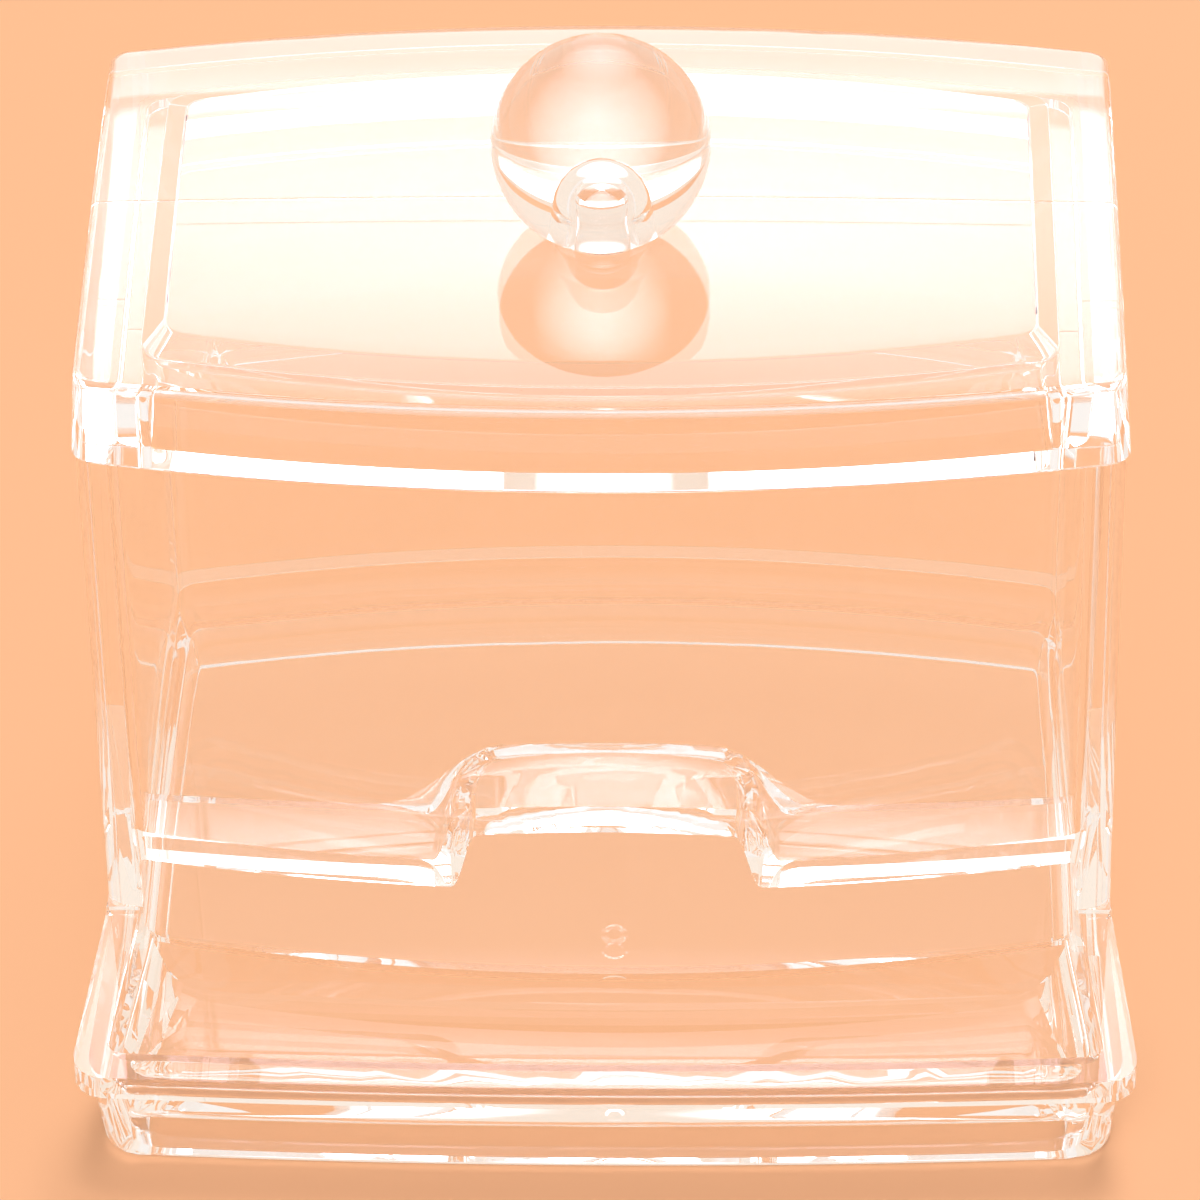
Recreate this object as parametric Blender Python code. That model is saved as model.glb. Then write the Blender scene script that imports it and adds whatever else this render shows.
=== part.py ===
"""Clear cotton swab holder: a bowed box with a lift-off knobbed lid and a dispensing tray in front.

Metres, +Z up. X is the width, -Y is the front with the tray, and the origin is on the table at the
middle of the footprint. While a piece is modelled, y = 0 is the plane through the front corners of
the box; the finished pieces are then moved back so that the footprint is centred.
"""

import math

import bmesh
import bpy

# Box shell, measured at its top edge, outside
BODY_WIDTH = 0.0936
BODY_DEPTH = 0.0487
FRONT_BOW = 0.0041
FRONT_BOW_LOW = 0.0048
BACK_BOW = 0.0043
SHELL_HEIGHT = 0.0545
SHELL_FLARE = 0.00045
WALL = 0.0031
CORNER_RADIUS = 0.0016

# Base under the shell, with the tray in front
BASE_HEIGHT = 0.0127
BASE_DRAFT = 0.0014
FRONT_DRAFT = 0.0003
BASE_ROUND = 0.0010
FOOT_WALL = 0.0030
SKIN = 0.0019
CHAMBER_FLOOR = 0.0080
CHAMBER_FILLET = 0.0025
TRAY_FLOOR = 0.0041
TRAY_REACH = 0.0225
TRAY_FLARE = 0.0020
TRAY_BOW = 0.0013
TRAY_CORNER = 0.0030
TRAY_SIDE_RUN = 0.0056
TRAY_FRONT_RUN = 0.0088
RIM_WIDTH = 0.0031
RIM_DROP = 0.0005
LIP_OVERHANG = 0.0010
LIP_HEIGHT = 0.0027
STEP_RUN = 0.0034
STEP_FOOT_BOW = 0.0014

# Mouth of the shell: the hood that ends the front wall, and the thumb notch in it
MOUTH_HEIGHT = 0.0063
HOOD_REACH = 0.0080
HOOD_BOW = 0.0023
HOOD_THICKNESS = 0.0016
MOUTH_FILLET = 0.0008
MOUTH_MARGIN = 0.0003
NOTCH_WIDTH = 0.0264
NOTCH_SIDE = 0.00125
NOTCH_RISE = 0.0071
NOTCH_CAMBER = 0.0003
ARCH_RISE = 0.0079
ARCH_CAMBER = 0.0026
BELL_LENGTH = 0.0034
BELL_WIDTH = 0.0280
BELL_SIDE = 0.0060
BELL_RISE = 0.0083
BELL_CAMBER = 0.0015
BELL_PAST = 0.0003

# Lid, with a rim that drops into the shell
LID_HEIGHT = 0.0086
LID_OVERHANG = 0.0003
LID_DRAFT = 0.0006
LID_PLATE = 0.0027
LID_CHAMFER = 0.0019
LID_EDGE = 0.0008
CROWN_RADIUS = 0.165
PLUG_DEPTH = 0.0028
PLUG_WALL = 0.0021
PLUG_GAP = 0.0009

# Ball knob, bored to sit on the lid's stud
KNOB_RADIUS = 0.0098
KNOB_NECK_RADIUS = 0.0046
KNOB_NECK_HEIGHT = 0.0005
KNOB_FORWARD = 0.0050
BORE_RADIUS = 0.0026
BORE_DEPTH = 0.0075
STUD_CLEARANCE = 0.0006
STUD_TOP_GAP = 0.0008

# Clearance between pieces that rest on each other
JOINT_GAP = 0.0003

# Facets
BOW_FACETS = 24
CORNER_FACETS = 4
CROWN_FACETS = 28
KNOB_STEPS = 56
KNOB_ARC = 28
FILLET_FACETS = 5
BELL_FACETS = 4
SPILL = 0.004
WELD = 0.00002

# Heights and places that follow from the sizes above
HALF = BODY_WIDTH / 2
SHELL_BOTTOM = BASE_HEIGHT + JOINT_GAP
SHELL_TOP = SHELL_BOTTOM + SHELL_HEIGHT
LID_BOTTOM = SHELL_TOP + JOINT_GAP
LID_EDGE_TOP = LID_BOTTOM + LID_HEIGHT
MID_Y = BODY_DEPTH / 2
RIM_TOP = BASE_HEIGHT - RIM_DROP
TRAY_FRONT = -TRAY_REACH
KNOB_Y = MID_Y - KNOB_FORWARD
MOUTH_Z = SHELL_BOTTOM + MOUTH_HEIGHT
BACK_LIMIT = BODY_DEPTH + SHELL_FLARE + BACK_BOW
FRONT_LIMIT = TRAY_FRONT - TRAY_BOW
FOOTPRINT_MIDDLE = (BACK_LIMIT + FRONT_LIMIT) / 2


def clear_scene():
    for obj in list(bpy.data.objects):
        bpy.data.objects.remove(obj)


def clear_plastic(name, tint):
    """Water-clear moulded polystyrene; each piece has its own, a touch different in tint."""
    material = bpy.data.materials.new(name)
    material.use_nodes = True
    shader = material.node_tree.nodes["Principled BSDF"]
    shader.inputs["Base Color"].default_value = (*tint, 1.0)
    shader.inputs["Roughness"].default_value = 0.04
    shader.inputs["Metallic"].default_value = 0.0
    shader.inputs["IOR"].default_value = 1.5
    shader.inputs["Alpha"].default_value = 0.35
    return material


def make_object(name, bm):
    mesh = bpy.data.meshes.new(name)
    bm.to_mesh(mesh)
    bm.free()
    obj = bpy.data.objects.new(name, mesh)
    bpy.context.collection.objects.link(obj)
    return obj


def boolean(target, tool, operation):
    """Applies one exact Boolean to the target and throws the tool away."""
    modifier = target.modifiers.new(tool.name, "BOOLEAN")
    modifier.solver = "EXACT"
    modifier.operation = operation
    modifier.object = tool
    depsgraph = bpy.context.evaluated_depsgraph_get()
    mesh = bpy.data.meshes.new_from_object(target.evaluated_get(depsgraph))
    target.modifiers.clear()
    target.data = mesh
    bpy.data.objects.remove(tool)
    weld(target)


def weld(obj):
    """Closes up the hair-thin faces that a cut can leave."""
    bm = bmesh.new()
    bm.from_mesh(obj.data)
    bmesh.ops.remove_doubles(bm, verts=bm.verts, dist=WELD)
    bmesh.ops.dissolve_degenerate(bm, dist=WELD, edges=bm.edges)
    bm.to_mesh(obj.data)
    bm.free()


def bow_at(x, half, bow):
    """Height of a shallow circular arc over its chord, at x from the chord's middle."""
    if abs(bow) < 1e-6:
        return 0.0
    radius = (half**2 + bow**2) / (2 * abs(bow))
    return math.copysign(math.sqrt(max(radius**2 - x**2, 0.0)) - (radius - abs(bow)), bow)


def outline(stations, bow_front, bow_back):
    """Bowed plan outline, anticlockwise from the front left corner.

    stations are (y, half width) pairs from front to back. Returns the points, and the places of
    the four corners in them.
    """
    y_front, half_front = stations[0]
    y_back, half_back = stations[-1]
    points = []
    for i in range(BOW_FACETS + 1):
        x = half_front * (2 * i / BOW_FACETS - 1)
        points.append((x, y_front - bow_at(x, half_front, bow_front)))
    for y, half in stations[1:-1]:
        points.append((half, y))
    back_start = len(points)
    for i in range(BOW_FACETS + 1):
        x = half_back * (1 - 2 * i / BOW_FACETS)
        points.append((x, y_back + bow_at(x, half_back, bow_back)))
    back_end = len(points) - 1
    for y, half in reversed(stations[1:-1]):
        points.append((-half, y))
    return points, (0, BOW_FACETS, back_start, back_end)


def loft(name, rings, front_radius, back_radius):
    """Closed solid through plan outlines at rising heights, with its upright corners rounded.

    rings are (stations, front bow, back bow, z).
    """
    bm = bmesh.new()
    loops = []
    for stations, bow_front, bow_back, z in rings:
        points, corners = outline(stations, bow_front, bow_back)
        loops.append([bm.verts.new((x, y, z)) for x, y in points])
    count = len(loops[0])
    for low, high in zip(loops, loops[1:]):
        for i in range(count):
            j = (i + 1) % count
            bm.faces.new((low[i], low[j], high[j], high[i]))
    bm.faces.new(reversed(loops[0]))
    bm.faces.new(loops[-1])
    for radius, pair in ((front_radius, corners[:2]), (back_radius, corners[2:])):
        if radius > 0:
            round_uprights(bm, loops, pair, radius)
    return make_object(name, bm)


def round_uprights(bm, loops, pair, radius):
    edges = []
    for low, high in zip(loops, loops[1:]):
        for i in pair:
            edges.append(bm.edges.get((low[i], high[i])))
    bmesh.ops.bevel(
        bm,
        geom=edges,
        offset=radius,
        offset_type="OFFSET",
        affect="EDGES",
        segments=CORNER_FACETS,
        profile=0.5,
        material=-1,
    )


def box(name, low, high):
    bm = bmesh.new()
    bmesh.ops.create_cube(bm, size=1.0)
    for vert in bm.verts:
        vert.co = [low[k] + (vert.co[k] + 0.5) * (high[k] - low[k]) for k in range(3)]
    return make_object(name, bm)


def shell_stations(flare, inset):
    """Front and back corner lines of the box, let out by flare and drawn in by inset."""
    half = HALF + flare - inset
    return [(-flare + inset, half), (BODY_DEPTH + flare - inset, half)]


def shell_share(z):
    """0 at the top edge of the shell, 1 at its bottom edge."""
    return (SHELL_TOP - z) / SHELL_HEIGHT


def front_bow(z):
    return FRONT_BOW + (FRONT_BOW_LOW - FRONT_BOW) * shell_share(z)


def front_y(x, z):
    """Outer face of the shell's front wall."""
    flare = SHELL_FLARE * shell_share(z)
    return -flare - bow_at(x, HALF + flare, front_bow(z))


def box_loft(name, low, high, inset, radius):
    """Part of the flared box between two heights, drawn in all round by inset."""
    rings = []
    for z in (low, high):
        stations = shell_stations(SHELL_FLARE * shell_share(z), inset)
        rings.append((stations, front_bow(z), BACK_BOW, z))
    return loft(name, rings, radius, radius)


def arch_height(x, knee, foot, rise, camber):
    """Height of the notch's roof: cambered to the knee, then down to nothing at the foot."""
    share = 1.0
    if x >= foot:
        share = 0.0
    elif x > knee:
        share = 0.5 + 0.5 * math.cos(math.pi * (x - knee) / (foot - knee))
    return (rise - camber * (x / foot) ** 2) * share


def mouth_profile(width, side, rise, camber, offset, end, fillet):
    """Underside of the hood across the width, as (x, z) from left to right.

    offset lets the notch out and lifts the whole line, which gives the top of the hood. The line
    turns down through a fillet where it meets the side walls, at the distance end.
    """
    knee = width / 2 - side + offset
    foot = width / 2 + side + offset
    right = [knee * i / 8 for i in range(8)]
    right += [knee + (foot - knee) * i / 8 for i in range(9)]
    right += [foot + (end - fillet - foot) * i / 5 for i in range(1, 6)]
    floor = MOUTH_Z + offset
    points = [(x, floor + arch_height(x, knee, foot, rise, camber)) for x in right]
    for i in range(1, 5):
        turn = math.pi / 2 * i / 4
        z = floor - fillet * (1 - math.cos(turn))
        points.append((end - fillet + fillet * math.sin(turn), z))
    return [(-x, z) for x, z in reversed(points[1:])] + points


def slab(name, stations):
    """Closed solid between a top and a bottom profile, swept from front to back.

    stations are (y values, top points, bottom heights), one entry of each for every column.
    """
    bm = bmesh.new()
    rows = []
    for ys, top, bottoms in stations:
        upper = [bm.verts.new((x, y, z)) for (x, z), y in zip(top, ys)]
        lower = [bm.verts.new((x, y, z)) for (x, _), y, z in zip(top, ys, bottoms)]
        rows.append((upper, lower))
    last = len(rows[0][0]) - 1
    for (up_a, low_a), (up_b, low_b) in zip(rows, rows[1:]):
        for i in range(last):
            bm.faces.new((up_a[i], up_a[i + 1], up_b[i + 1], up_b[i]))
            bm.faces.new((low_a[i], low_b[i], low_b[i + 1], low_a[i + 1]))
        bm.faces.new((up_a[0], up_b[0], low_b[0], low_a[0]))
        bm.faces.new((up_a[last], low_a[last], low_b[last], up_b[last]))
    for (upper, lower), front in ((rows[0], True), (rows[-1], False)):
        for i in range(last):
            face = (upper[i], lower[i], lower[i + 1], upper[i + 1])
            bm.faces.new(face if front else reversed(face))
    return make_object(name, bm)


def hood_rear(x):
    return HOOD_REACH - bow_at(x, HALF, HOOD_BOW)


def mouth_rows(offset, end, fillet, front_edge, past_rear, bottom):
    """Profiles of the mouth from the front wall back to the bell at the hood's rear edge."""
    ends = (offset, end, fillet)
    front = mouth_profile(NOTCH_WIDTH, NOTCH_SIDE, NOTCH_RISE, NOTCH_CAMBER, *ends)
    arch = mouth_profile(NOTCH_WIDTH, NOTCH_SIDE, ARCH_RISE, ARCH_CAMBER, *ends)
    bell = mouth_profile(BELL_WIDTH, BELL_SIDE, BELL_RISE, BELL_CAMBER, *ends)
    rows = [([front_edge(x) for x, _ in front], front)]
    for i in range(BELL_FACETS + 1):
        turn = math.pi / 2 * i / BELL_FACETS
        flared = mix_profiles(arch, bell, 1 - math.cos(turn))
        behind = past_rear - BELL_LENGTH * (1 - math.sin(turn))
        rows.append(([hood_rear(x) + behind for x, _ in flared], flared))
    return [(ys, profile, [bottom] * len(profile)) for ys, profile in rows]


def mix_profiles(first, second, share):
    return [(a + (c - a) * share, b + (d - b) * share) for (a, b), (c, d) in zip(first, second)]


def build_shell():
    """Four walls in one moulding, open at the top and at the bottom, with a hooded mouth."""
    shell = box_loft("body_shell", SHELL_BOTTOM, SHELL_TOP, 0.0, CORNER_RADIUS)
    bore = box_loft("shell_bore", SHELL_BOTTOM - SPILL, SHELL_TOP + SPILL, WALL, CORNER_RADIUS)
    boolean(shell, bore, "DIFFERENCE")
    inner_half = HALF + SHELL_FLARE - WALL
    hood = mouth_rows(
        HOOD_THICKNESS,
        inner_half + WALL / 2,
        0.0,
        lambda x: front_y(x, MOUTH_Z) + WALL / 2,
        0.0,
        MOUTH_Z - MOUTH_FILLET,
    )
    boolean(shell, slab("hood", hood), "UNION")
    mouth = mouth_rows(
        0.0,
        inner_half - MOUTH_MARGIN,
        MOUTH_FILLET,
        lambda x: -FRONT_BOW_LOW - SPILL,
        BELL_PAST,
        SHELL_BOTTOM - SPILL,
    )
    boolean(shell, slab("mouth", mouth), "DIFFERENCE")
    return shell


def base_ring(z, draft, inset, bow_back=BACK_BOW):
    """Outer wall of the base under the lip: draft leans it in, inset draws it in further."""
    half = HALF + SHELL_FLARE - draft * BASE_DRAFT - inset
    flare = TRAY_FLARE - LIP_OVERHANG
    front = -(TRAY_REACH - LIP_OVERHANG - draft * FRONT_DRAFT - inset)
    back = BODY_DEPTH + SHELL_FLARE - draft * BASE_DRAFT - inset
    return ([(front, half + flare), (0.0, half), (back, half)], TRAY_BOW, bow_back, z)


def build_base():
    """Shallow dish with a skirt that stands on the table: the tray in front, the chamber behind."""
    rings = []
    for i in range(4):
        turn = math.pi / 2 * i / 3
        z = BASE_ROUND * (1 - math.cos(turn))
        rings.append(base_ring(z, 1 - z / BASE_HEIGHT, BASE_ROUND * (1 - math.sin(turn))))
    rings.append(base_ring(BASE_HEIGHT, 0.0, 0.0))
    base = loft("base_tray", rings, TRAY_CORNER, CORNER_RADIUS)
    boolean(base, tray_lip(), "UNION")
    hollow_rings = [base_ring(-SPILL, 1.0, FOOT_WALL), base_ring(BASE_HEIGHT - SKIN, 0.0, FOOT_WALL)]
    hollow = loft("foot_hollow", hollow_rings, TRAY_CORNER, CORNER_RADIUS)
    boolean(hollow, chamber_dish("chamber_skin", SKIN), "DIFFERENCE")
    boolean(hollow, tray_dish("tray_skin", SKIN), "DIFFERENCE")
    boolean(base, hollow, "DIFFERENCE")
    boolean(base, chamber_dish("chamber_dish", 0.0), "DIFFERENCE")
    boolean(base, tray_dish("tray_dish", 0.0), "DIFFERENCE")
    low = (-2 * HALF, FRONT_LIMIT - SPILL, RIM_TOP)
    high = (2 * HALF, -SHELL_FLARE - JOINT_GAP, BASE_HEIGHT + SPILL)
    boolean(base, box("rim_drop", low, high), "DIFFERENCE")
    return base


def tray_lip():
    """Overhanging lip round the tray, dying out where the tray meets the box."""
    stations = [(-TRAY_REACH, HALF + SHELL_FLARE + TRAY_FLARE), (0.0, HALF + SHELL_FLARE)]
    rings = [(stations, TRAY_BOW, 0.0, z) for z in (RIM_TOP - LIP_HEIGHT, BASE_HEIGHT)]
    return loft("lip", rings, TRAY_CORNER, 0.0)


def fillet_levels(floor, top):
    """Heights of a quarter round from floor to top, each with how far it is still drawn in."""
    levels = []
    for i in range(FILLET_FACETS + 1):
        turn = math.pi / 2 * i / FILLET_FACETS
        levels.append((floor + (top - floor) * (1 - math.cos(turn)), 1 - math.sin(turn)))
    return levels


def chamber_dish(name, skin):
    """Inside of the base behind the step, let out by skin. Its narrow front lies in the tray."""
    inner = HALF + SHELL_FLARE - WALL + skin
    back = BODY_DEPTH + SHELL_FLARE - WALL + skin
    rings = []
    for z, share in fillet_levels(CHAMBER_FLOOR, CHAMBER_FLOOR + CHAMBER_FILLET):
        draw = CHAMBER_FILLET * share
        nose = (-FRONT_BOW_LOW - STEP_RUN, HALF - FRONT_BOW_LOW - STEP_RUN)
        stations = [nose, (skin, inner - draw), (back - draw, inner - draw)]
        rings.append((stations, 0.0, BACK_BOW, z - skin))
    rings.append((*rings[-1][:3], BASE_HEIGHT + SPILL))
    return loft(name, rings, 0.0, CORNER_RADIUS)


def tray_dish(name, skin):
    """Inside of the tray, let out by skin: scooped at the front and the sides.

    Its back is the step up to the chamber floor, which leans and takes up the box's bow.
    """
    inner = HALF + SHELL_FLARE - WALL + skin
    reach = TRAY_REACH - RIM_WIDTH + skin
    depth = RIM_TOP - TRAY_FLOOR
    levels = fillet_levels(TRAY_FLOOR, RIM_TOP)
    step_turn = math.acos((RIM_TOP - CHAMBER_FLOOR) / depth)
    levels = sorted(levels + [(CHAMBER_FLOOR, 1 - math.sin(step_turn))])
    rings = []
    for z, share in levels:
        climb = min((z - TRAY_FLOOR) / (CHAMBER_FLOOR - TRAY_FLOOR), 1.0)
        half = inner - TRAY_SIDE_RUN * share
        front = (-reach + TRAY_FRONT_RUN * share, half + TRAY_FLARE)
        back = (skin - STEP_RUN * (1 - climb), half)
        bow = STEP_FOOT_BOW + (FRONT_BOW_LOW - STEP_FOOT_BOW) * climb
        rings.append(([front, back], TRAY_BOW, -bow, z - skin))
    rings.append((*rings[-1][:3], BASE_HEIGHT + SPILL))
    return loft(name, rings, CORNER_RADIUS, 0.0)


def crown_sag(half_depth):
    return CROWN_RADIUS - math.sqrt(CROWN_RADIUS**2 - half_depth**2)


def crowned_row(share, out, edge_z, lean):
    """Points across the arched top, share of the way from its front edge to its back edge.

    lean is how far the ends draw in for each metre that the top rises above edge_z.
    """
    points = []
    for i in range(BOW_FACETS + 1):
        side = 2 * i / BOW_FACETS - 1
        x = (HALF + out) * side
        front = -out - bow_at(x, HALF + out, FRONT_BOW)
        back = BODY_DEPTH + out + bow_at(x, HALF + out, BACK_BOW)
        reach = (back - front) / 2
        y = front + (back - front) * share
        rise = bow_at(y - (front + back) / 2, reach, crown_sag(reach))
        points.append((x - side * lean * rise, y, edge_z + rise))
    return points


def crowned_loft(name, levels, radius, edge_radius):
    """Solid on the box's plan, let out by levels of (out, z), under a top arched front to back.

    The last level is the outline of that top, which is level along its front and back edges.
    """
    bm = bmesh.new()
    loops = []
    low_out, low_z = levels[-2]
    top_out, edge_z = levels[-1]
    lean = (low_out - top_out) / (edge_z - low_z) if edge_radius > 0 else 0.0
    for out, z in levels[:-1]:
        points, _ = outline(shell_stations(out, 0.0), FRONT_BOW, BACK_BOW)
        loops.append([bm.verts.new((x, y, z)) for x, y in points])
    rows = []
    for j in range(CROWN_FACETS + 1):
        row = crowned_row(j / CROWN_FACETS, top_out, edge_z, lean)
        rows.append([bm.verts.new(point) for point in row])
    for low, high in zip(rows, rows[1:]):
        for i in range(BOW_FACETS):
            bm.faces.new((low[i], low[i + 1], high[i + 1], high[i]))
    rim = rows[0] + list(reversed(rows[-1]))
    right = [row[-1] for row in rows]
    left = [row[0] for row in reversed(rows)]
    last = loops[-1]
    turn = BOW_FACETS + 1
    for i in range(BOW_FACETS):
        bm.faces.new((last[i], last[i + 1], rim[i + 1], rim[i]))
        bm.faces.new((last[turn + i], last[turn + i + 1], rim[turn + i + 1], rim[turn + i]))
    bm.faces.new([last[turn - 1], last[turn]] + list(reversed(right)))
    bm.faces.new([last[-1], last[0]] + list(reversed(left)))
    for low, high in zip(loops, loops[1:]):
        for i in range(len(low)):
            j = (i + 1) % len(low)
            bm.faces.new((low[i], low[j], high[j], high[i]))
    bm.faces.new(reversed(loops[0]))
    for pair in ((0, turn - 1), (turn, len(last) - 1)):
        round_uprights(bm, loops + [rim], pair, radius)
    if edge_radius > 0:
        round_top_edge(bm, edge_z, edge_radius)
    return make_object(name, bm)


def round_top_edge(bm, edge_z, radius):
    """Rounds the edge between the arched top and the upright sides."""
    bm.normal_update()
    edges = []
    for edge in bm.edges:
        slopes = sorted(abs(face.normal.z) for face in edge.link_faces)
        level = all(abs(vert.co.z - edge_z) < SPILL for vert in edge.verts)
        if level and slopes[0] < 0.3 and slopes[1] > 0.9:
            edges.append(edge)
    bmesh.ops.bevel(
        bm,
        geom=edges,
        offset=radius,
        offset_type="OFFSET",
        affect="EDGES",
        segments=3,
        profile=0.5,
        material=-1,
    )


def build_lid():
    """Crowned plate with a thick rim; the rim's inner part drops into the shell as a plug."""
    levels = [(LID_OVERHANG, LID_BOTTOM), (LID_OVERHANG - LID_DRAFT, LID_EDGE_TOP)]
    lid = crowned_loft("lid", levels, CORNER_RADIUS, LID_EDGE)
    plug_out = -WALL - PLUG_GAP
    plug_in = plug_out - PLUG_WALL
    plug_bottom = LID_BOTTOM - PLUG_DEPTH
    plug_rings = []
    for z in (plug_bottom, LID_BOTTOM + LID_PLATE):
        plug_rings.append((shell_stations(plug_out, 0.0), FRONT_BOW, BACK_BOW, z))
    boolean(lid, loft("plug", plug_rings, CORNER_RADIUS, CORNER_RADIUS), "UNION")
    panel = plug_in - LID_CHAMFER
    under = LID_EDGE_TOP + crown_sag(MID_Y) - crown_sag(MID_Y + panel) - LID_PLATE
    hollow_levels = [
        (plug_in, plug_bottom - SPILL),
        (plug_in, under - LID_CHAMFER),
        (panel, under),
    ]
    hollow = crowned_loft("lid_hollow", hollow_levels, CORNER_RADIUS, 0.0)
    boolean(lid, hollow, "DIFFERENCE")
    boolean(lid, stud(), "UNION")
    return lid


def turned(name, profile, steps, x, y):
    """Solid of revolution about an upright axis; profile is (radius, z) from axis to axis."""
    bm = bmesh.new()
    verts = [bm.verts.new((radius, 0.0, z)) for radius, z in profile]
    edges = [bm.edges.new(pair) for pair in zip(verts, verts[1:])]
    bmesh.ops.spin(
        bm,
        geom=verts + edges,
        cent=(0.0, 0.0, 0.0),
        axis=(0.0, 0.0, 1.0),
        angle=2 * math.pi,
        steps=steps,
        use_merge=True,
    )
    bmesh.ops.remove_doubles(bm, verts=bm.verts, dist=1e-6)
    bmesh.ops.recalc_face_normals(bm, faces=bm.faces)
    bmesh.ops.translate(bm, verts=bm.verts, vec=(x, y, 0.0))
    return make_object(name, bm)


def crown_height(y):
    """Top of the lid on its middle line."""
    reach = (BODY_DEPTH + FRONT_BOW + BACK_BOW) / 2 + LID_OVERHANG - LID_DRAFT
    middle = (BODY_DEPTH + BACK_BOW - FRONT_BOW) / 2
    return LID_EDGE_TOP + bow_at(y - middle, reach, crown_sag(reach))


def stud():
    """Post on the lid that the knob is pressed on."""
    radius = BORE_RADIUS - STUD_CLEARANCE
    knob_bottom = crown_height(KNOB_Y) + JOINT_GAP
    top = knob_bottom + BORE_DEPTH - STUD_TOP_GAP
    foot = crown_height(KNOB_Y) - LID_PLATE / 2
    profile = [(0.0, foot), (radius, foot), (radius, top - radius / 2)]
    for i in range(1, 5):
        turn = math.pi / 2 * i / 4
        profile.append((radius * math.cos(turn), top - radius / 2 * (1 - math.sin(turn))))
    profile[-1] = (0.0, top)
    return turned("stud", profile, KNOB_STEPS // 2, 0.0, KNOB_Y)


def build_knob():
    """Solid ball on a short neck, with a round-ended bore up into it for the stud."""
    bottom = crown_height(KNOB_Y) + JOINT_GAP
    start = math.asin(KNOB_NECK_RADIUS / KNOB_RADIUS)
    centre = bottom + KNOB_NECK_HEIGHT + KNOB_RADIUS * math.cos(start)
    bore_top = bottom + BORE_DEPTH
    profile = []
    for i in range(7):
        turn = math.pi / 2 * i / 6
        radius = BORE_RADIUS * math.sin(turn)
        profile.append((radius, bore_top - BORE_RADIUS * (1 - math.cos(turn))))
    profile.append((BORE_RADIUS, bottom))
    profile.append((KNOB_NECK_RADIUS, bottom))
    for i in range(KNOB_ARC + 1):
        turn = start + (math.pi - start) * i / KNOB_ARC
        profile.append((KNOB_RADIUS * math.sin(turn), centre - KNOB_RADIUS * math.cos(turn)))
    profile[0] = (0.0, bore_top)
    profile[-1] = (0.0, centre + KNOB_RADIUS)
    return turned("knob_ball", profile, KNOB_STEPS, 0.0, KNOB_Y)


def finish(obj, tint, parent):
    obj.data.materials.clear()
    obj.data.materials.append(clear_plastic(obj.name + "_plastic", tint))
    obj.data.shade_smooth()
    obj.data.set_sharp_from_angle(angle=math.radians(25))
    obj.location.y = -FOOTPRINT_MIDDLE
    if parent is not None:
        obj.parent = parent
        obj.matrix_parent_inverse = parent.matrix_world.inverted()


def main():
    clear_scene()
    lift = bpy.data.objects.new("lid_lift_axis", None)
    bpy.context.collection.objects.link(lift)
    lift.location = (0.0, MID_Y - FOOTPRINT_MIDDLE, SHELL_TOP)
    bpy.context.view_layer.update()
    finish(build_base(), (0.93, 0.94, 0.95), None)
    finish(build_shell(), (0.95, 0.95, 0.95), None)
    finish(build_lid(), (0.96, 0.95, 0.94), lift)
    finish(build_knob(), (0.97, 0.96, 0.95), lift)


main()
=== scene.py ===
# %% [markdown]
# # A clear cotton swab holder
# This lesson dresses a finished CAD model of a clear plastic swab holder: a bowed box with a
# lift-off lid and a ball knob, and a scooped tray in front. The CAD gives the true shape of every
# piece. Blender gives each piece finer edges and a plastic that bends light, and then a studio.

import math

import bmesh
import bpy
from mathutils import Matrix, Vector


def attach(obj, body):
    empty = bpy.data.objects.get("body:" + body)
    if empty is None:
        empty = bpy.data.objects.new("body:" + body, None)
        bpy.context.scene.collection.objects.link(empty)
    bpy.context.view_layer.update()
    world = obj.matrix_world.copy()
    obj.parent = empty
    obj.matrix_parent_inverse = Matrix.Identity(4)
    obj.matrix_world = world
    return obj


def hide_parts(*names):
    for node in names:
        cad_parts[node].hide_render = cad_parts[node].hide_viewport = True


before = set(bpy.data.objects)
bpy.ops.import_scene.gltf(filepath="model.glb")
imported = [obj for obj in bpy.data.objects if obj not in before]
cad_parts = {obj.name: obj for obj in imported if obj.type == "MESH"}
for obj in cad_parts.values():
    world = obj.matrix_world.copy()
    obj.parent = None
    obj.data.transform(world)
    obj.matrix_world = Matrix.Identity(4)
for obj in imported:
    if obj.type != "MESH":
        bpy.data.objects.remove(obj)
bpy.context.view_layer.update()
print("CAD nodes:", sorted(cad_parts))

# %% [markdown]
# ## The camera
# The photograph was taken with a long lens from above the front edge. A camera could be set by
# eye. This one was fitted to the corners of the box and the lid, all but its downward angle, which
# the corners hardly settle and which was chosen. A long lens keeps the upright edges of the box
# nearly parallel.

# %% Camera
CAMERA_PLACE = Vector((0.014526, -0.46573, 0.45713))
LOOKS_DOWN = math.radians(41.99)
TURNED_LEFT = math.radians(1.873)
ROLLED = math.radians(-1.112)
LENS = 201.44

camera_data = bpy.data.cameras.new("camera")
camera_data.lens = LENS
camera_data.sensor_width = 36.0
camera_data.clip_start = 0.01
camera = bpy.data.objects.new("camera", camera_data)
bpy.context.scene.collection.objects.link(camera)
turn = Matrix.Rotation(TURNED_LEFT, 4, "Z")
tilt = Matrix.Rotation(math.pi / 2 - LOOKS_DOWN, 4, "X")
roll = Matrix.Rotation(ROLLED, 4, "Z")
camera.matrix_world = Matrix.Translation(CAMERA_PLACE) @ turn @ tilt @ roll
bpy.context.scene.camera = camera
bpy.context.scene.view_settings.view_transform = "Standard"
print("camera is", round(CAMERA_PLACE.length, 3), "m from the middle of the footprint")

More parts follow.
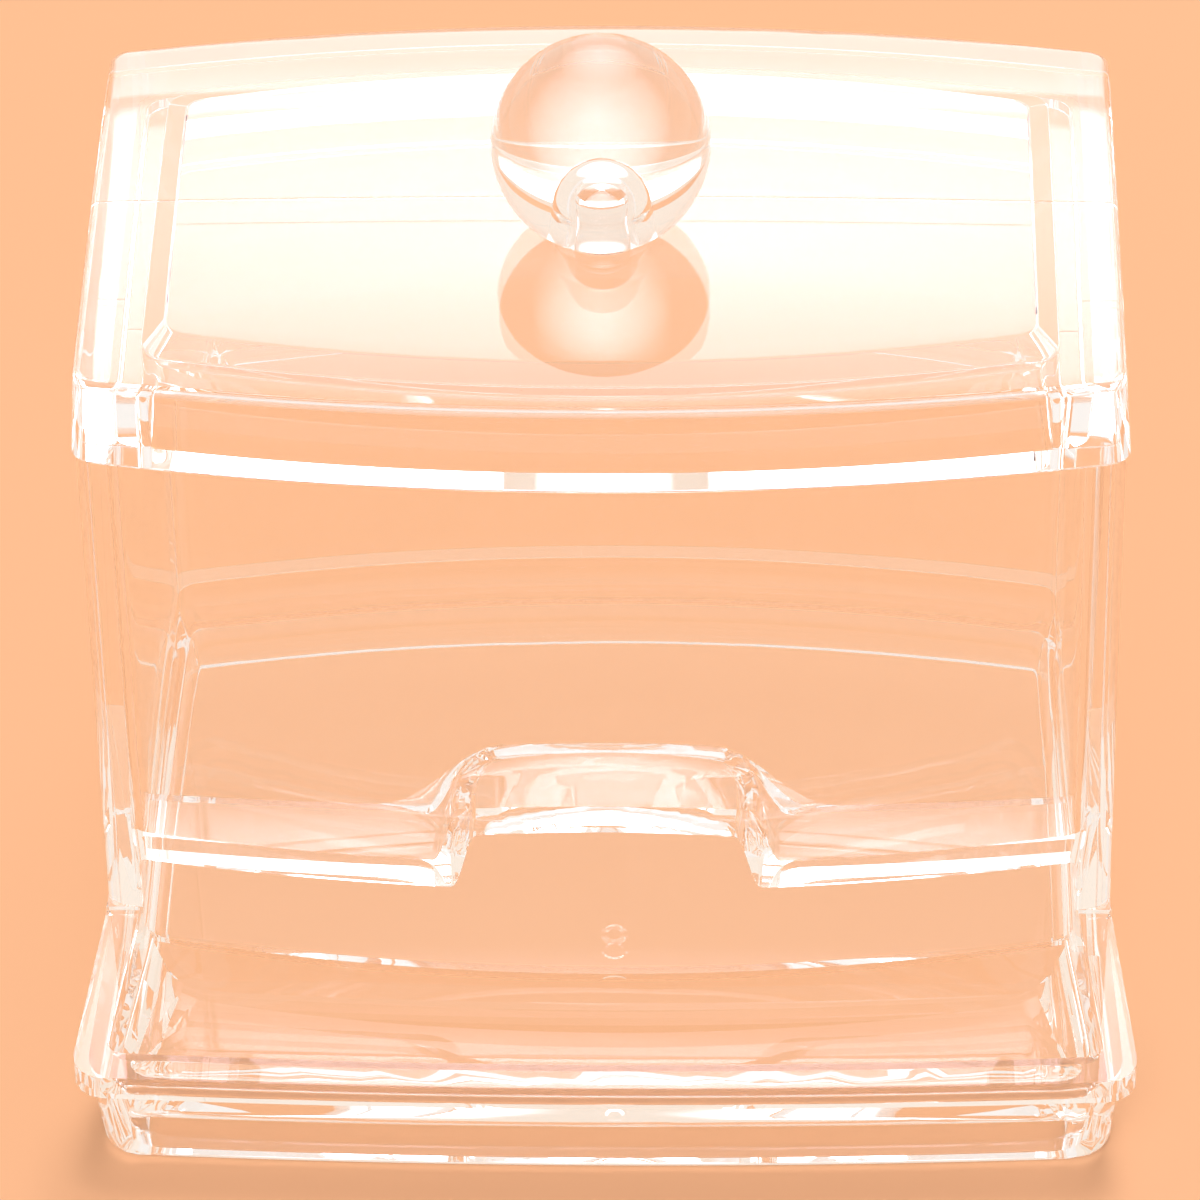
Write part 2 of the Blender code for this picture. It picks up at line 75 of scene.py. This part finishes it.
# %% [markdown]
# ## A wrapper for shader sockets
# Materials here are made of nodes. Each node could be made and linked by hand, which takes many
# lines. Instead a small class wraps a socket, so that a pattern can be written as ordinary
# arithmetic, and one method makes every kind of node.


# %% Shader arithmetic
class Wire:
    """A shader socket that can be added, taken away and multiplied."""

    def __init__(self, tree, socket):
        self.tree = tree
        self.socket = socket

    def math(self, operation, *values):
        """A Math node on numbers and wires."""
        return self.node("ShaderNodeMath", {"operation": operation}, dict(enumerate(values)))

    def __add__(self, other):
        return self.math("ADD", self, other)

    def __radd__(self, other):
        return self.math("ADD", other, self)

    def __sub__(self, other):
        return self.math("SUBTRACT", self, other)

    def __rsub__(self, other):
        return self.math("SUBTRACT", other, self)

    def __mul__(self, other):
        return self.math("MULTIPLY", self, other)

    def __rmul__(self, other):
        return self.math("MULTIPLY", other, self)

    def node(self, kind, settings=(), sockets=(), output=0):
        """A node of any kind: its settings come first, then the values or wires of its sockets."""
        made = self.tree.nodes.new(kind)
        for name, value in dict(settings).items():
            setattr(made, name, value)
        for name, value in dict(sockets).items():
            if isinstance(value, Wire):
                self.tree.links.new(value.socket, made.inputs[name])
            else:
                made.inputs[name].default_value = value
        return Wire(self.tree, made.outputs[output])

    def axis(self, number):
        """The x, y or z of a vector, as 0, 1 or 2."""
        return self.node("ShaderNodeSeparateXYZ", sockets={0: self}, output=number)

    def ramp(self, low, high, start, end, smooth=False):
        """This value's run from low to high, drawn out from start to end."""
        kind = "SMOOTHSTEP" if smooth else "LINEAR"
        ends = {0: self, 1: low, 2: high, 3: start, 4: end}
        return self.node("ShaderNodeMapRange", {"interpolation_type": kind}, ends)

    def feed(self, shader):
        """Link a shader to this wire's own socket, the output that the tree ends in."""
        self.tree.links.new(shader.socket, self.socket)


def empty_tree(tree, output):
    """Empty a node tree but for its output node, and give a wire to start from."""
    tree.nodes.clear()
    return Wire(tree, tree.nodes.new(output).inputs["Surface"])


def empty_material(name):
    """A material with only its output node, and a wire to start from."""
    material = bpy.data.materials.new(name)
    material.use_nodes = True
    return material, empty_tree(material.node_tree, "ShaderNodeOutputMaterial")


print("shader helpers are ready")

# %% [markdown]
# ## Clear moulded plastic
# The holder is injection moulded in a water-clear plastic. A real moulding isn't quite perfect:
# its faces are a little wavy where the plastic flowed, and handling leaves faint hazy patches.
# Both come from noise on Object coordinates, the waves through a Bump node and the haze through
# roughness.
#
# The mould has left two marks: a line across the lid, and a ring on the floor of the box. They
# could be cut into the mesh, but they stand only hundredths of a millimetre high, so they are
# drawn into the same bump.

# %% Marks of the mould
LID_LINE_Y = 0.0087
GATE_X = 0.0005
GATE_Y = -0.0143
GATE_RADIUS = 0.0010
LINE_WIDTH = 0.00018
MARK_HEIGHT = 0.00006
UNDER_LID_TOP = 0.0765
UNDER_FLOOR_TOP = 0.0070


def mark(off_line, width):
    """1 on a line and 0 beyond its width, smooth between."""
    return off_line.math("ABSOLUTE", off_line).ramp(0.0, width, 1.0, 0.0, smooth=True)


def above(place, level):
    """1 over a level and 0 under it, which keeps a mark off the far side of its wall."""
    return place.math("GREATER_THAN", place.axis(2), level)


def split_line(place):
    """A fine raised line across the lid's top, where two parts of the mould met."""
    return mark(place.axis(1) - LID_LINE_Y, LINE_WIDTH) * above(place, UNDER_LID_TOP)


def gate_ring(place):
    """The raised ring left on the chamber floor where the plastic entered the mould."""
    across = place.axis(0) - GATE_X
    along = place.axis(1) - GATE_Y
    reach = place.math("SQRT", across * across + along * along)
    return mark(reach - GATE_RADIUS, LINE_WIDTH * 2) * above(place, UNDER_FLOOR_TOP)


print("marks of the mould stand", round(MARK_HEIGHT * 1000, 3), "mm high")

# %% [markdown]
# The front lip of the base is thick and slants, so it turns much of a lamp's light aside and
# throws a band of shadow. The next cells let shadow rays pass the plastic freely, which would lose
# that band. So in the lip some of them meet the real plastic after all, and more of them where its
# faces slant most to the light.

# %% The lip's shadow
LIP_START = -0.024
LIP_FULL = -0.030
LIP_SHADE = 2.0
MOST_BLOCKED = 0.7
EVEN_BLEND = 0.5


def lip_block(place):
    """How much of a lamp's light the front lip turns aside."""
    slant = place.node("ShaderNodeLayerWeight", sockets={"Blend": EVEN_BLEND}, output="Facing")
    in_lip = place.axis(1).ramp(LIP_START, LIP_FULL, 0.0, 1.0)
    return place.math("MINIMUM", slant * slant * in_lip * LIP_SHADE, MOST_BLOCKED)


print("the lip blocks up to", MOST_BLOCKED, "of the light")

# %% [markdown]
# All four plastics come from one function. What differs is how strongly the plastic bends light,
# its tint, the size of its waves, and a mark of its mould. Lamps would leave a black shadow behind
# solid plastic, so shadow rays and rays from dull surfaces meet a faintly tinted Transparent
# shader instead. So does a ray that has turned many times inside a corner. It could be given more
# bounces, but real plastic is never so clear that a corner traps light and goes black.

# %% Clear plastic
FULL_TINT = (1.0, 1.0, 1.0, 1.0)
SHADE = (0.985, 0.98, 0.975, 1.0)
HAZE_SCALE = 90.0
MOST_ROUGH = 0.02
TRAPPED = 8.5


def clear_plastic(name, ior, tint, wave_height, wave_scale, mould_mark=None, thick_lip=False):
    """Polished clear plastic with slow waves, a faint haze and perhaps a mark of its mould."""
    material, wire = empty_material(name)
    place = wire.node("ShaderNodeTexCoord", output="Object")
    waves = wire.node(
        "ShaderNodeTexNoise",
        sockets={"Vector": place, "Scale": wave_scale, "Detail": 1.0, "Roughness": 0.4},
    )
    haze = wire.node(
        "ShaderNodeTexNoise",
        sockets={"Vector": place, "Scale": HAZE_SCALE, "Detail": 3.0, "Roughness": 0.6},
    )
    height = waves * wave_height
    if mould_mark:
        height = height + mould_mark(place) * MARK_HEIGHT
    bump = wire.node("ShaderNodeBump", sockets={"Strength": 1.0, "Distance": 1.0, "Height": height})
    tinted = wire.node(
        "ShaderNodeMix", {"data_type": "RGBA"}, {0: haze, 6: tint, 7: FULL_TINT}, output=2
    )
    plastic = wire.node(
        "ShaderNodeBsdfPrincipled",
        sockets={
            "Base Color": tinted,
            "Roughness": haze * MOST_ROUGH,
            "IOR": ior,
            "Transmission Weight": 1.0,
            "Normal": bump,
        },
    )
    open_way = wire.node("ShaderNodeBsdfTransparent", sockets={"Color": SHADE})
    passes = open_rays(wire)
    if thick_lip:
        passes = passes * (1.0 - lip_block(place))
    wire.feed(wire.node("ShaderNodeMixShader", sockets={0: passes, 1: plastic, 2: open_way}))
    return material


def open_rays(wire):
    """1 for rays that pass the plastic freely: from lamps and dull surfaces, and trapped ones."""
    shadow = wire.node("ShaderNodeLightPath", output="Is Shadow Ray")
    dull = wire.node("ShaderNodeLightPath", output="Is Diffuse Ray")
    turns = wire.node("ShaderNodeLightPath", output="Ray Depth")
    trapped = wire.math("GREATER_THAN", turns, TRAPPED)
    return wire.math("MAXIMUM", wire.math("MAXIMUM", shadow, dull), trapped)


# %% The four plastics
BOX_IOR = 1.5
BALL_IOR = 1.49
HAZY = (0.985, 0.985, 0.98, 1.0)
# Painted shade: the ball is tinted warmer and darker than the box, which dims the white it shows of
# the lid and the cards. The real ball is as clear as the box.
BALL_PAINTED_SHADE = (0.955, 0.915, 0.895, 1.0)
BOX_WAVES = {"wave_height": 0.000006, "wave_scale": 60.0}
BALL_WAVES = {"wave_height": 0.000001, "wave_scale": 40.0}

box_plastic = clear_plastic("box_plastic", BOX_IOR, HAZY, **BOX_WAVES)
lid_plastic = clear_plastic("lid_plastic", BOX_IOR, HAZY, **BOX_WAVES, mould_mark=split_line)
tray_plastic = clear_plastic(
    "tray_plastic", BOX_IOR, HAZY, **BOX_WAVES, mould_mark=gate_ring, thick_lip=True
)
ball_plastic = clear_plastic("ball_plastic", BALL_IOR, BALL_PAINTED_SHADE, **BALL_WAVES)
print("materials:", [m.name for m in (box_plastic, lid_plastic, tray_plastic, ball_plastic)])

# %% [markdown]
# ## The mouldings
# A moulding could be modelled afresh here, but a copy of its CAD node keeps the true shape. The
# CAD mesh is loose triangles, so the copy is merged, its flat faces are joined up again, and its
# sharp edges are rounded a little, because a moulded edge is never razor sharp and the round is
# what catches the light. The round is careful on the box and the base, whose small fillets a full
# round would fold over, and full on the lid and the ball.
#
# Where the shell is cemented to the base, the copy's edge is lowered a little into the base,
# because a joint full of cement bends no light and shows no line. The front of the foot is lifted
# by a film of air, because a foot that touches the paper all round would show it darker than it
# is.

# %% The joint and the foot
JOINT_HEIGHT = 0.0131
JOINT_DROP = 0.00035
COLUMN_BACK = -0.012
FOOT_HEIGHT = 0.0005
FOOT_BACK = 0.02
FOOT_RUN = 0.04
AIR_FILM = 0.0001


def close_joint(bm):
    """Lower the shell's cemented bottom edge a little into the base, all but its front columns."""
    cemented = [v for v in bm.verts if v.co.z < JOINT_HEIGHT and v.co.y > COLUMN_BACK]
    bmesh.ops.translate(bm, verts=cemented, vec=(0.0, 0.0, -JOINT_DROP))
    print(len(cemented), "corners of the shell lowered into the joint")


def lift_front_foot(bm):
    """Leave a film of air between the front of the foot and the paper."""
    foot = [v for v in bm.verts if v.co.z < FOOT_HEIGHT and v.co.y < FOOT_BACK]
    for v in foot:
        v.co.z += AIR_FILM * min(1.0, (FOOT_BACK - v.co.y) / FOOT_RUN)
    print(len(foot), "corners of the foot lifted")


# %% Merge and round a copy
MERGE = 0.00001
FLAT = math.radians(0.15)
CRISP = math.radians(28)
EDGE_ROUND = 0.0002
ROUND_STEPS = 2
FACE_WEIGHT = 50
MENDS = {"body_shell": close_joint, "base_tray": lift_front_foot}


def finer_copy(node, name, careful):
    """A merged copy of a CAD node with its crisp edges slightly rounded."""
    bm = bmesh.new()
    bm.from_mesh(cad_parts[node].data)
    bmesh.ops.remove_doubles(bm, verts=bm.verts, dist=MERGE)
    bmesh.ops.dissolve_limit(bm, angle_limit=FLAT, verts=bm.verts, edges=bm.edges)
    if node in MENDS:
        MENDS[node](bm)
    mesh = bpy.data.meshes.new(name)
    bm.to_mesh(mesh)
    bm.free()
    obj = bpy.data.objects.new(name, mesh)
    bpy.context.scene.collection.objects.link(obj)
    mesh.shade_smooth()
    mesh.set_sharp_from_angle(angle=CRISP)
    rounding = obj.modifiers.new("edge_round", "BEVEL")
    rounding.width = EDGE_ROUND
    rounding.segments = ROUND_STEPS
    rounding.limit_method = "ANGLE"
    rounding.angle_limit = CRISP
    rounding.use_clamp_overlap = careful
    level = obj.modifiers.new("level_faces", "WEIGHTED_NORMAL")
    level.keep_sharp = False
    level.weight = FACE_WEIGHT
    print(name, "has", len(mesh.polygons), "faces before rounding")
    return obj


# %% [markdown]
# The base is a shallow dish with a scooped tray in front. The shell stands on it: four bowed walls
# whose front ends in a hood over the mouth, with a notch for a thumb. The lid rests on the shell,
# and the ball on its short neck is the lid's knob. The lid and the ball ride on one body, so they
# lift together.

# %% The four mouldings
for node, body, plastic, careful in (
    ("base_tray", "holder", tray_plastic, True),
    ("body_shell", "holder", box_plastic, True),
    ("lid", "lid_set", lid_plastic, False),
    ("knob_ball", "lid_set", ball_plastic, False),
):
    piece = finer_copy(node, "clear_" + node, careful)
    piece.data.materials.append(plastic)
    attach(piece, body)
    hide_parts(node)
    "knob_plastic" if node == "knob_ball" else "clear_plastic"

# %% [markdown]
# ## The studio
# The holder stands on peach paper in a room with pale walls. A clear object shows little of
# itself: what shows is what it reflects and bends. So the room is bright all round for rays that
# come off the plastic, while the paper takes its light from two soft lamps, the stronger one
# behind. The paper could be bent up into a sweep, but a flat sheet is enough, because the room
# takes its colour where the sheet ends.

# %% Paper
PAPER = (0.95, 0.50, 0.28, 1.0)
PAPER_HALF = 0.8
PAPER_LEVEL = 0.00002

bm = bmesh.new()
bmesh.ops.create_grid(bm, x_segments=1, y_segments=1, size=PAPER_HALF)
bmesh.ops.translate(bm, verts=bm.verts, vec=(0.0, 0.0, PAPER_LEVEL))
paper_mesh = bpy.data.meshes.new("paper")
bm.to_mesh(paper_mesh)
bm.free()
paper = bpy.data.objects.new("paper", paper_mesh)
bpy.context.scene.collection.objects.link(paper)
paper_material, wire = empty_material("paper")
matt = {"Base Color": PAPER, "Roughness": 1.0, "Specular IOR Level": 0.0}
wire.feed(wire.node("ShaderNodeBsdfPrincipled", sockets=matt))
paper_mesh.materials.append(paper_material)
print("paper is", 2 * PAPER_HALF, "m wide")

# %% [markdown]
# ## Lamps and cards
# A lamp lights the paper. A card is a lamp that only shows in reflections and through the plastic.
# A brighter room would whiten every face alike, and a card whitens only the faces that mirror it.
# One pale card leans over the back of the lid and whitens its arched top. Its light leaves it in a
# narrow cone, and its lower edge is higher than what the floor of the box and the tray reflect, so
# they stay the colour of the paper. A low strip behind the lid whitens the lid's back rim, and
# light linking keeps it out of the ball. All of them fade towards their edges, as a softbox does,
# so that no hard edge shows in a reflection.


# %% A soft panel
def edge_fade(share, fade):
    """1 in the middle of a panel and 0 at its edges, smooth over the share that fades."""
    from_edge = 0.5 - share.math("ABSOLUTE", share - 0.5)
    return from_edge.ramp(0.0, fade, 0.0, 1.0, smooth=True)


def soft_panel(name, place, aim, size, brightness, fade=0.35, spread=180, tint=FULL_TINT):
    """A flat lamp, brightness times as bright as white paper, that fades towards its edges."""
    data = bpy.data.lights.new(name, "AREA")
    data.shape = "RECTANGLE"
    data.size, data.size_y = size
    data.energy = brightness * math.pi * data.size * data.size_y
    data.spread = math.radians(spread)
    data.use_nodes = True
    wire = empty_tree(data.node_tree, "ShaderNodeOutputLight")
    spot = wire.node("ShaderNodeNewGeometry", output="Parametric")
    level = edge_fade(spot.axis(0), fade) * edge_fade(spot.axis(1), fade)
    wire.feed(wire.node("ShaderNodeEmission", sockets={"Color": tint, "Strength": level}))
    lamp = bpy.data.objects.new(name, data)
    bpy.context.scene.collection.objects.link(lamp)
    lamp.location = place
    lamp.rotation_euler = (Vector(aim) - Vector(place)).to_track_quat("-Z", "Y").to_euler()
    lamp.visible_camera = False
    return lamp


# %% Two lamps for the paper
MIDDLE = (0.0, 0.0, 0.05)
LAMP_SIZE = (1.2, 1.2)
BACK_PLACE = (0.3, 1.1, 1.9)
BACK_LEVEL = 15.5
FRONT_PLACE = (-0.2, -1.2, 1.9)
FRONT_LEVEL = 7.5

back_lamp = soft_panel("back_lamp", BACK_PLACE, MIDDLE, LAMP_SIZE, BACK_LEVEL)
front_lamp = soft_panel("front_lamp", FRONT_PLACE, MIDDLE, LAMP_SIZE, FRONT_LEVEL)
for lamp in (back_lamp, front_lamp):
    lamp.visible_glossy = False
    lamp.visible_transmission = False
print("lamps:", [o.name for o in (back_lamp, front_lamp)])

# %% Two cards for the reflections
COOL = (0.97, 0.83, 1.0, 1.0)
CARD_PLACE = (0.003, 0.0374, 0.1237)
CARD_AIM = (0.003, -0.0356, 0.0557)
CARD_SIZE = (0.155, 0.092)
CARD_LEVEL = 0.58
RIM_PLACE = (0.0, 0.046, 0.0832)
RIM_AIM = (0.0, 0.0, 0.06)
RIM_SIZE = (0.115, 0.009)
RIM_LEVEL = 4.0

card = soft_panel(
    "card", CARD_PLACE, CARD_AIM, CARD_SIZE, CARD_LEVEL, fade=0.12, spread=60, tint=COOL
)
rim_card = soft_panel("rim_card", RIM_PLACE, RIM_AIM, RIM_SIZE, RIM_LEVEL, fade=0.1, tint=COOL)
for shown in (card, rim_card):
    shown.visible_diffuse = False
lid_alone = bpy.data.collections.new("lid_alone")
lid_alone.objects.link(bpy.data.objects["clear_lid"])
rim_card.light_linking.receiver_collection = lid_alone

# %% [markdown]
# ## The room
# The world stands for the room. What the camera sees past the paper is peach like the paper, rays
# off the plastic see pale walls above and paper below, and everything else gets a dim, even light.

# %% What surrounds the holder
ROOM = (1.0, 0.96, 0.92, 1.0)
ROOM_LEVEL = 1.0
FILL_LEVEL = 0.35

world = bpy.data.worlds.new("studio")
world.use_nodes = True
bpy.context.scene.world = world
sky = empty_tree(world.node_tree, "ShaderNodeOutputWorld")


def backdrop(colour, level):
    """A world shader of one colour."""
    return sky.node("ShaderNodeBackground", sockets={"Color": colour, "Strength": level})


print("the room is", ROOM_LEVEL, "bright and its fill", FILL_LEVEL)

# %% [markdown]
# In the room the paper sweeps up at the back, as a photographer's backdrop does. The more a ray
# runs towards the back, the higher it has to rise before it sees the pale wall. The world has no
# surface, so that edge is worked out from the direction of the ray.

# %% Sweep and walls
SWEEP = (1.0, 0.88, 0.76, 1.0)
SWEEP_START = 0.1
SWEEP_END = 0.45
SWEEP_TOP = 0.75
WALL_START = -0.02
WALL_FULL = 0.12

look = sky.node("ShaderNodeTexCoord", output="Generated")
sweep_edge = look.axis(1).ramp(SWEEP_START, SWEEP_END, 0.0, SWEEP_TOP)
past_sweep = (look.axis(2) - sweep_edge).ramp(WALL_START, WALL_FULL, 0.0, 1.0)
walls = sky.node(
    "ShaderNodeMix", {"data_type": "RGBA"}, {0: past_sweep, 6: SWEEP, 7: ROOM}, output=2
)
print("the sweep reaches", SWEEP_TOP, "of the way up")

# %% What each kind of ray sees
glossy = sky.node("ShaderNodeLightPath", output="Is Glossy Ray")
bent = sky.node("ShaderNodeLightPath", output="Is Transmission Ray")
off_plastic = sky.math("MAXIMUM", glossy, bent)
camera_ray = sky.node("ShaderNodeLightPath", output="Is Camera Ray")
fill = backdrop(ROOM, FILL_LEVEL)
room = backdrop(walls, ROOM_LEVEL)
seen = backdrop(PAPER, 1.0)
lit = sky.node("ShaderNodeMixShader", sockets={0: off_plastic, 1: fill, 2: room})
sky.feed(sky.node("ShaderNodeMixShader", sockets={0: camera_ray, 1: lit, 2: seen}))
print("nodes in the world:", len(world.node_tree.nodes))

# %% [markdown]
# Light goes through many faces of clear plastic, and turns round inside its edges, before it comes
# out, so it is given more bounces than usual.

# %% Bounces
cycles = bpy.context.scene.cycles
cycles.max_bounces = 16
cycles.glossy_bounces = 12
cycles.transmission_bounces = 16
cycles.transparent_max_bounces = 24
